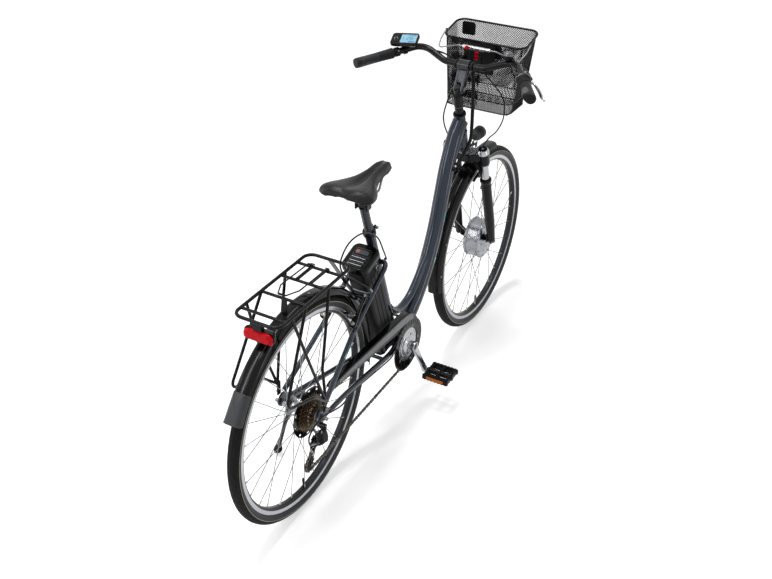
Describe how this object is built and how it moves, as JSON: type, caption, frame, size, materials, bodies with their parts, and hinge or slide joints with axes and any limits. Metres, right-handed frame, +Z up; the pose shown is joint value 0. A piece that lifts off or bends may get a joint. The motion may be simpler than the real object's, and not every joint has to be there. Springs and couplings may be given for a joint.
{
  "type": "electric city bicycle",
  "caption": "Step-through electric city bicycle with hub motor, seat-tube battery, suspension fork, mudguards, rear carrier, front basket, derailleur drive and rim brakes",
  "frame": {"origin": "on the ground, midway between the two wheel axles, in the bicycle's middle plane", "axes": "+Z up, the front wheel towards -Y, the chain side towards -X"},
  "size_m": [0.6646, 1.9203, 1.1652],
  "materials": {
    "frame_paint": "dark slate blue metallic paint, glossy",
    "black_paint": "glossy black paint",
    "guard_plastic": "glossy black",
    "black_plastic": "matt black",
    "cable_jacket": "smooth black jacket",
    "tyre": "black with a thin cream line on each side",
    "rim": "silver with bright brake tracks",
    "hub": "satin silver",
    "crank": "polished silver",
    "stem_grey": "satin grey",
    "steel": "plain steel",
    "chain": "oiled brown steel",
    "sprockets": "bronze brown steel",
    "saddle": "black satin cover",
    "grip": "matt black rubber",
    "red": "clear red",
    "button": "dark grey"
  },
  "bodies": {
    "frame": {"main_frame": "frame_paint", "chain_stays": "frame_paint", "seat_stays": "frame_paint", "seat_clamp": "black_paint", "rear_mudguard": "guard_plastic", "rack": "black_paint", "tail_light_housing": "black_plastic", "tail_light_lens": "red", "battery_dock": "black_plastic", "chain_guard": "guard_plastic", "chain": "chain", "derailleur": "black_paint", "rear_axle": "steel", "rear_brake_cable": "cable_jacket", "shift_cable": "cable_jacket"},
    "kickstand": {"kickstand": "black_paint"},
    "post": {"seatpost": "black_paint"},
    "saddle": {"saddle": "saddle"},
    "battery": {"battery_case": "black_plastic"},
    "key": {"key_lock": "crank"},
    "rack_clamp": {"rack_clamp": "steel"},
    "rear_brake_left": {"rear_brake_arm_left": "crank"},
    "rear_brake_right": {"rear_brake_arm_right": "crank"},
    "rear_wheel": {"rear_tyre": "tyre", "rear_rim": "rim", "rear_hub": "hub"},
    "freewheel": {"sprockets": "sprockets"},
    "upper_pulley": {"jockey_upper": "black_plastic"},
    "lower_pulley": {"jockey_lower": "black_plastic"},
    "cranks": {"crank_right": "crank", "crank_left": "crank", "chainring": "black_plastic"},
    "pedal_right": {"pedal_right": "black_plastic"},
    "pedal_left": {"pedal_left": "black_plastic"},
    "steering": {"fork_crown": "black_paint", "front_brake_cable": "cable_jacket", "cable_bundle": "cable_jacket"},
    "headlight": {"headlight": "black_plastic"},
    "lowers": {"fork_lowers": "black_paint", "front_axle": "steel", "front_mudguard": "guard_plastic"},
    "front_wheel": {"front_tyre": "tyre", "front_rim": "rim", "front_hub": "hub"},
    "front_brake_left": {"front_brake_arm_left": "crank"},
    "front_brake_right": {"front_brake_arm_right": "crank"},
    "stem": {"stem_post": "black_paint"},
    "cockpit": {"stem_arm": "stem_grey", "handlebar": "black_paint", "grip_left": "grip", "grip_right": "grip", "display": "black_plastic"},
    "lever_left": {"brake_lever_left": "crank"},
    "lever_right": {"brake_lever_right": "crank"},
    "shifter": {"twist_shifter": "black_plastic"},
    "bell": {"bell": "black_plastic"},
    "button": {"display_button": "button"},
    "basket": {"basket": "black_paint"},
    "release": {"basket_release": "red"},
    "bail": {"basket_bail": "steel"}
  },
  "joints": [
    {"name": "steer", "type": "hinge", "parent": "frame", "child": "steering", "pos_m": [0, -0.42272, 0.79027], "axis": [0, 0.309, 0.9511], "range_deg": [-65, 65], "deforming": ["cable_bundle"]},
    {"name": "headlight_tilt", "type": "hinge", "parent": "steering", "child": "headlight", "pos_m": [0, -0.518, 0.76077], "axis": [1, 0, 0], "range_deg": [-15, 15]},
    {"name": "suspension", "type": "slide", "parent": "steering", "child": "lowers", "axis": [0, 0.309, 0.9511], "range_m": [0, 0.03], "stiffness_N_per_m": 5000, "springref_m": -0.04, "deforming": ["front_brake_cable"]},
    {"name": "front_wheel_spin", "type": "hinge", "parent": "lowers", "child": "front_wheel", "pos_m": [0, -0.605, 0.349], "axis": [1, 0, 0], "continuous": true},
    {"name": "front_brake_left", "type": "hinge", "parent": "lowers", "child": "front_brake_left", "pos_m": [0.048, -0.49789, 0.61071], "axis": [0, -0.9511, 0.309], "range_deg": [0, 3]},
    {"name": "front_brake_right", "type": "hinge", "parent": "lowers", "child": "front_brake_right", "pos_m": [-0.048, -0.49789, 0.61071], "axis": [0, 0.9511, -0.309], "range_deg": [0, 3]},
    {"name": "stem_height", "type": "slide", "parent": "steering", "child": "stem", "axis": [0, 0.309, 0.9511], "range_m": [0, 0.06], "deforming": ["front_brake_cable", "cable_bundle"]},
    {"name": "stem_angle", "type": "hinge", "parent": "stem", "child": "cockpit", "pos_m": [0, -0.36641, 1.01696], "axis": [1, 0, 0], "range_deg": [-15, 15]},
    {"name": "brake_lever_left", "type": "hinge", "parent": "cockpit", "child": "lever_left", "pos_m": [0.24555, -0.35962, 1.09403], "axis": [0.4421, -0.1802, 0.8787], "range_deg": [0, 17], "stiffness_Nm_per_rad": 1, "springref_deg": -20.05},
    {"name": "brake_lever_right", "type": "hinge", "parent": "cockpit", "child": "lever_right", "pos_m": [-0.24277, -0.36374, 1.09459], "axis": [0.4421, 0.1802, -0.8787], "range_deg": [0, 17], "stiffness_Nm_per_rad": 1, "springref_deg": -20.05},
    {"name": "gear_twist", "type": "hinge", "parent": "cockpit", "child": "shifter", "pos_m": [-0.24197, -0.31441, 1.1051], "axis": [-0.5567, 0.8232, -0.1113], "range_deg": [0, 100]},
    {"name": "bell_twist", "type": "hinge", "parent": "cockpit", "child": "bell", "pos_m": [-0.14, -0.41939, 1.12515], "axis": [0, -0.1191, 0.9929], "range_deg": [0, 30], "stiffness_Nm_per_rad": 0.05, "springref_deg": -17.19},
    {"name": "display_button_press", "type": "slide", "parent": "cockpit", "child": "button", "axis": [0, -0.3872, -0.922], "range_m": [0, 0.001], "stiffness_N_per_m": 300, "springref_m": -0.002},
    {"name": "basket_lift", "type": "slide", "parent": "cockpit", "child": "basket", "axis": [0, 0, 1], "range_m": [0, 0.03]},
    {"name": "basket_release_press", "type": "slide", "parent": "cockpit", "child": "release", "axis": [0, 0, -1], "range_m": [0, 0.003], "stiffness_N_per_m": 400, "springref_m": -0.003},
    {"name": "basket_bail_swing", "type": "hinge", "parent": "basket", "child": "bail", "pos_m": [0, -0.57324, 1.1324], "axis": [1, 0, 0], "range_deg": [0, 100]},
    {"name": "rear_brake_left", "type": "hinge", "parent": "frame", "child": "rear_brake_left", "pos_m": [0.05164, 0.38374, 0.52312], "axis": [0, -0.5434, -0.8395], "range_deg": [0, 3]},
    {"name": "rear_brake_right", "type": "hinge", "parent": "frame", "child": "rear_brake_right", "pos_m": [-0.05164, 0.38374, 0.52312], "axis": [0, 0.5434, 0.8395], "range_deg": [0, 3]},
    {"name": "rear_wheel_spin", "type": "hinge", "parent": "frame", "child": "rear_wheel", "pos_m": [0, 0.605, 0.349], "axis": [1, 0, 0], "continuous": true},
    {"name": "crank_spin", "type": "hinge", "parent": "frame", "child": "cranks", "pos_m": [0, 0.045, 0.267], "axis": [1, 0, 0], "continuous": true, "deforming": ["chain"]},
    {"name": "freewheel_spin", "type": "hinge", "parent": "frame", "child": "freewheel", "pos_m": [0, 0.605, 0.349], "axis": [1, 0, 0], "continuous": true},
    {"name": "upper_pulley_spin", "type": "hinge", "parent": "frame", "child": "upper_pulley", "pos_m": [-0.0475, 0.612, 0.257], "axis": [1, 0, 0], "continuous": true},
    {"name": "lower_pulley_spin", "type": "hinge", "parent": "frame", "child": "lower_pulley", "pos_m": [-0.0475, 0.6395, 0.1883], "axis": [1, 0, 0], "continuous": true},
    {"name": "pedal_right_spin", "type": "hinge", "parent": "cranks", "child": "pedal_right", "pos_m": [-0.082, -0.04256, 0.12128], "axis": [1, 0, 0], "continuous": true},
    {"name": "pedal_left_spin", "type": "hinge", "parent": "cranks", "child": "pedal_left", "pos_m": [0.082, 0.13256, 0.41272], "axis": [1, 0, 0], "continuous": true},
    {"name": "kickstand_fold", "type": "hinge", "parent": "frame", "child": "kickstand", "pos_m": [0.082, 0.5, 0.302], "axis": [0.9864, 0.1184, 0.1144], "range_deg": [0, 95]},
    {"name": "seatpost_height", "type": "slide", "parent": "frame", "child": "post", "axis": [0, 0.3322, 0.9432], "range_m": [-0.045, 0.05]},
    {"name": "saddle_tilt", "type": "hinge", "parent": "post", "child": "saddle", "pos_m": [0, 0.25526, 0.86406], "axis": [1, 0, 0], "range_deg": [-10, 10]},
    {"name": "battery_lift", "type": "slide", "parent": "frame", "child": "battery", "axis": [0, 0.3322, 0.9432], "range_m": [0, 0.13]},
    {"name": "key_turn", "type": "hinge", "parent": "battery", "child": "key", "pos_m": [-0.0345, 0.23144, 0.65193], "axis": [-1, 0, 0], "range_deg": [0, 90]},
    {"name": "rack_clamp_lift", "type": "hinge", "parent": "frame", "child": "rack_clamp", "pos_m": [0, 0.494, 0.7726], "axis": [1, 0, 0], "range_deg": [0, 95], "stiffness_Nm_per_rad": 0.5, "springref_deg": -34.38}
  ],
  "couplings": [
    {"joint": "front_brake_left", "follows": "brake_lever_left", "ratio": 0.17647},
    {"joint": "front_brake_right", "follows": "brake_lever_left", "ratio": 0.17647},
    {"joint": "rear_brake_left", "follows": "brake_lever_right", "ratio": 0.17647},
    {"joint": "rear_brake_right", "follows": "brake_lever_right", "ratio": 0.17647},
    {"joint": "freewheel_spin", "follows": "crank_spin", "ratio": 2.1111},
    {"joint": "upper_pulley_spin", "follows": "crank_spin", "ratio": -3.4545},
    {"joint": "lower_pulley_spin", "follows": "crank_spin", "ratio": 3.4545}
  ]
}
